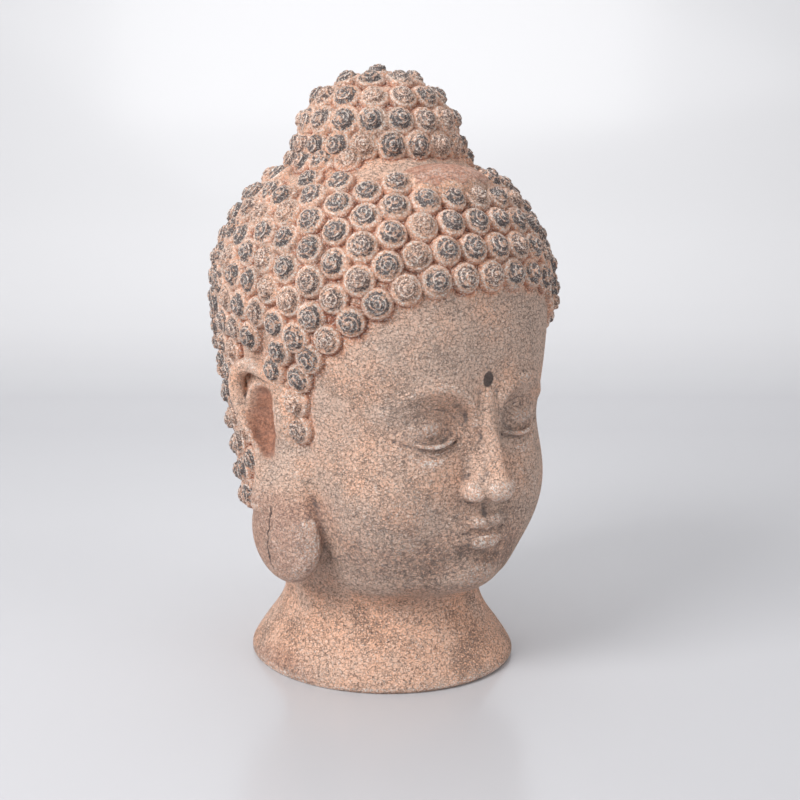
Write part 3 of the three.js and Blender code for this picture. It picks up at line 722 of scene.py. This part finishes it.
# The bare parts: creases and raised edges, the boss and the lobes, the ears' hollows, and where grime gathers
FULL_BULGE = 0.22
bulge = ((place - spread(place, 2)) * normal).sum(-1)
keep("bulge", np.where(same, 0, np.clip(bulge / FULL_BULGE, -1, 1)) * (1 - hair))
lobe = smoothly(138, 120, up) * smoothly(78, 86, aside)
boss = smoothly(0.2, 1.5, above) * smoothly(298, 306, up) * (1 - hair)
keep("boss", np.maximum(boss, 0.5 * lobe))
keep("ear_hollow", spread(1 - smoothly(-1, 3, EAR_HOLLOW[0](aside, ahead, up)), 6))
neck = smoothly(66, 48, up)
foot_rim = smoothly(9, 1, up)
forehead = smoothly(200, 225, up) * smoothly(-40, -80, ahead) * (1 - hair)
lower_face = smoothly(-20, -70, ahead) * smoothly(150, 95, up) * smoothly(58, 72, up)
lids = np.exp(-((aside - EYE_WIDTH) / 22) ** 2 - ((up - LASH) / 16) ** 2) * (ahead < -70)
keep("warm", np.clip(0.35 + 0.3 * neck + 0.4 * hair - 0.15 * lobe - 0.2 * forehead, 0, 1))
keep("grime", np.clip(0.75 * lower_face + 0.8 * lids + 0.6 * foot_rim + 0.4 * lobe, 0, 1))


def srgb(red, green, blue):
    return tuple(((c / 255 + 0.055) / 1.055) ** 2.4 for c in (red, green, blue)) + (1,)


DULL_SALMON, SALMON = srgb(218, 187, 168), srgb(244, 191, 160)
DUST, CHALK = srgb(134, 114, 105), srgb(240, 224, 212)
# The darker orange is painted shade for the bottom of the furrows
ORANGE, FURROW_SHADE_ORANGE = srgb(178, 104, 74), srgb(128, 72, 54)
EAR_BROWN, EAR_ORANGE = srgb(150, 98, 76), srgb(184, 122, 94)
CRACK_BROWN, MARK_BROWN = srgb(92, 82, 79), srgb(74, 68, 68)
DARK_SLATE, PALE_SLATE = srgb(72, 74, 79), srgb(102, 100, 102)
BRUSHED_SALMON, BRUSHED_WHITE = srgb(226, 172, 143), srgb(248, 238, 229)

paint = bpy.data.materials.new("crackled_terracotta_paint")
paint.use_nodes = True
nodes, links = paint.node_tree.nodes, paint.node_tree.links
shader = nodes["Principled BSDF"]
here = nodes.new("ShaderNodeTexCoord").outputs["Object"]


def feed(socket, value):
    if isinstance(value, bpy.types.NodeSocket):
        links.new(value, socket)
    else:
        socket.default_value = value


def number(operation, *values, clamp=False):
    node = nodes.new("ShaderNodeMath")
    node.operation, node.use_clamp = operation, clamp
    for socket, value in zip(node.inputs, values):
        feed(socket, value)
    return node.outputs["Value"]


def times(one, other, clamp=False):
    return number("MULTIPLY", one, other, clamp=clamp)


def plus(one, other):
    return number("ADD", one, other)


def most(one, other):
    return number("MAXIMUM", one, other)


def far_from(one, other):
    return number("ABSOLUTE", number("SUBTRACT", one, other))


def graded(value, slope, start):
    """The start, and slope times the value on top of it."""
    return number("MULTIPLY_ADD", value, slope, start)


def between(value, low_end, high_end):
    """0 below the low end, 1 above the high end, and a soft step between."""
    node = nodes.new("ShaderNodeMapRange")
    node.interpolation_type = "SMOOTHSTEP"
    for name, part in (("Value", value), ("From Min", low_end), ("From Max", high_end)):
        feed(node.inputs[name], part)
    return node.outputs["Result"]


def moved(operation, *values):
    node = nodes.new("ShaderNodeVectorMath")
    node.operation = operation
    for socket, value in zip(node.inputs, values):
        feed(socket, value)
    return node.outputs["Vector"]


def measured(name):
    node = nodes.new("ShaderNodeAttribute")
    node.attribute_name = name
    return node.outputs["Fac"]


def cloud(scale, detail=2, roughness=0.5, output="Fac", where=None):
    node = nodes.new("ShaderNodeTexNoise")
    feed(node.inputs["Vector"], where or here)
    for name, value in (("Scale", scale), ("Detail", detail), ("Roughness", roughness)):
        node.inputs[name].default_value = value
    return node.outputs[output]


def cracks(scale, where):
    node = nodes.new("ShaderNodeTexVoronoi")
    node.feature = "DISTANCE_TO_EDGE"
    feed(node.inputs["Vector"], where)
    node.inputs["Scale"].default_value = scale
    return node.outputs["Distance"]


def coat(under, over, cover):
    node = nodes.new("ShaderNodeMix")
    node.data_type = "RGBA"
    feed(node.inputs["Factor"], cover)
    feed(node.inputs["A"], under)
    feed(node.inputs["B"], over)
    return node.outputs["Result"]


crown, coil_edge, shade, in_hair = (measured(name) for name in ("crown", "coil_edge", "shade", "hair"))
furrow, rounded, boss = (measured(name) for name in ("furrow", "bulge", "boss"))
ear_hollow, grime, warm = (measured(name) for name in ("ear_hollow", "grime", "warm"))
patches = cloud(34, 4, 0.6)
flaking = cloud(38, 4, 0.65)
streaks = cloud(420, 4, 0.65)
mottle = cloud(620, 2, 0.6)
specks = cloud(900, 3, 0.7)
dust = cloud(2300, 2, 0.6)

# First coat: salmon terracotta, duller on the brow, mottled by chalky and dusty grains
colour = coat(DULL_SALMON, SALMON, between(graded(warm, 0.5, patches), 0.5, 0.98))
colour = coat(colour, DUST, times(between(mottle, 0.5, 0.62), graded(warm, -0.05, 0.46)))
colour = coat(colour, CHALK, times(between(specks, 0.53, 0.66), 0.7))

# Orange left in the furrows between curls and in the ears, with painted shade darkening it at the bottom of
# the furrows
orange_cover = times(most(furrow, times(boss, 0.75)), between(streaks, 0.2, 0.6))
colour = coat(colour, ORANGE, orange_cover)
colour = coat(colour, FURROW_SHADE_ORANGE, times(between(furrow, 0.75, 1.0), 0.6))
colour = coat(colour, coat(EAR_BROWN, EAR_ORANGE, between(streaks, 0.4, 0.6)), ear_hollow)

# Crackle: short wandering splits, and fine seams round flakes of paint that lie a little wider than tall
WANDER = (0.003, 0.003, 0.003)
FLAT_FLAKES = (1, 1, 1.6)
wandering = moved("MULTIPLY_ADD", cloud(260, 3, 0.6, output="Color"), WANDER, here)
wandering = moved("MULTIPLY", wandering, FLAT_FLAKES)
opening = times(between(flaking, 0.48, 0.66), graded(warm, 0.9, 0.2), clamp=True)
seam_width = graded(opening, 0.2, 0.02)
seam_cover = times(between(cracks(430, wandering), seam_width, 0.0), graded(opening, 0.65, 0.25))
wide_width = times(between(specks, 0.4, 0.6), 0.07)
wide_cover = times(between(cracks(210, wandering), wide_width, 0.0), 0.7)
off_split = far_from(cloud(300, 3, 0.55, where=wandering), 0.5)
split_cover = times(between(off_split, graded(opening, 0.03, 0.018), 0.0), between(mottle, 0.4, 0.5))
crackle = times(most(most(seam_cover, wide_cover), split_cover), graded(ear_hollow, -0.5, 1.0))
colour = coat(colour, CRACK_BROWN, times(crackle, graded(in_hair, -0.25, 0.85)))

# Slate grey: heavy and ragged on the crowns of the curls
ragged = graded(number("SUBTRACT", streaks, 0.5), 2.2, crown)
worn = between(graded(specks, -1.0, graded(shade, 0.65, 0.37)), 0.0, 0.2)
gaps = graded(between(cloud(300, 3), 0.53, 0.6), -0.75, 1.0)
crown_cover = times(times(between(ragged, 0.42, 0.66), worn), gaps)
# and rubbed thin into creases, on the lids and the lower face, with a fleck here and there
crease = times(between(rounded, -0.2, -1.0), graded(ear_hollow, -0.7, 0.75))
rubbed = times(grime, between(plus(streaks, times(patches, 0.5)), 0.6, 0.95))
fleck = times(between(streaks, 0.6, 0.68), between(patches, 0.4, 0.7))
face_cover = most(times(crease, between(streaks, 0.25, 0.5)), times(rubbed, 0.8))
face_cover = most(face_cover, times(fleck, 0.7))
slate = coat(DARK_SLATE, PALE_SLATE, between(mottle, 0.4, 0.62))
colour = coat(colour, slate, most(times(crown_cover, 0.92), face_cover))

# Dry-brushed white on every edge, thin enough for the salmon to show, and chalk on the hair
edge_cover = most(between(coil_edge, 0.4, 0.95), between(rounded, 0.3, 0.95))
edge_cover = times(edge_cover, between(plus(streaks, times(dust, 0.4)), 0.54, 0.76))
edge_cover = most(edge_cover, times(times(in_hair, between(specks, 0.54, 0.62)), 0.7))
colour = coat(colour, coat(BRUSHED_SALMON, BRUSHED_WHITE, between(specks, 0.42, 0.56)), edge_cover)

# The dark dot between the brows
DOT_HEIGHT, DOT_WIDE, DOT_TALL, DOT_FRONT = (BROW + 10) * MM, 0.0042, 0.0052, -0.05
split = nodes.new("ShaderNodeSeparateXYZ")
feed(split.inputs["Vector"], here)
x, y, z = (split.outputs[axis] for axis in "XYZ")
dot_across = number("POWER", number("DIVIDE", x, DOT_WIDE), 2.0)
dot_up = number("POWER", number("DIVIDE", number("SUBTRACT", z, DOT_HEIGHT), DOT_TALL), 2.0)
off_dot = graded(specks, 0.5, number("SQRT", plus(dot_across, dot_up)))
dot = times(between(off_dot, 1.35, 1.1), number("LESS_THAN", y, DOT_FRONT))

# An old crack down the right ear lobe
CRACK_MIDDLE, CRACK_REACH, CRACK_FADE = 0.1, 0.024, 0.019
CRACK_WANDER, CRACK_BACK, LOBE_SIDE = 0.022, 0.0155, -0.08
crack_line = plus(graded(cloud(55, 3), CRACK_WANDER, -CRACK_WANDER / 2), plus(y, CRACK_BACK))
crack = times(between(number("ABSOLUTE", crack_line), 0.0009, 0.0003),
              between(far_from(z, CRACK_MIDDLE), CRACK_REACH, CRACK_FADE))
crack = times(crack, number("LESS_THAN", x, LOBE_SIDE))
colour = coat(colour, MARK_BROWN, most(times(dot, 0.9), times(crack, 0.85)))
feed(shader.inputs["Base Color"], colour)
shader.inputs["Roughness"].default_value = 0.72
shader.inputs["Specular IOR Level"].default_value = 0.32

# The crackle stands in low relief, with a grain over all
grain = graded(plus(crackle, crack), -0.8, times(mottle, 0.5))
grain = plus(grain, times(plus(streaks, times(dust, 0.5)), 0.8))
bump = nodes.new("ShaderNodeBump")
bump.inputs["Strength"].default_value = 0.85
bump.inputs["Distance"].default_value = 0.0014
feed(bump.inputs["Height"], grain)
feed(shader.inputs["Normal"], bump.outputs["Normal"])

mesh.materials.clear()
mesh.materials.append(paint)
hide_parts("buddha_head")
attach(head, "root")
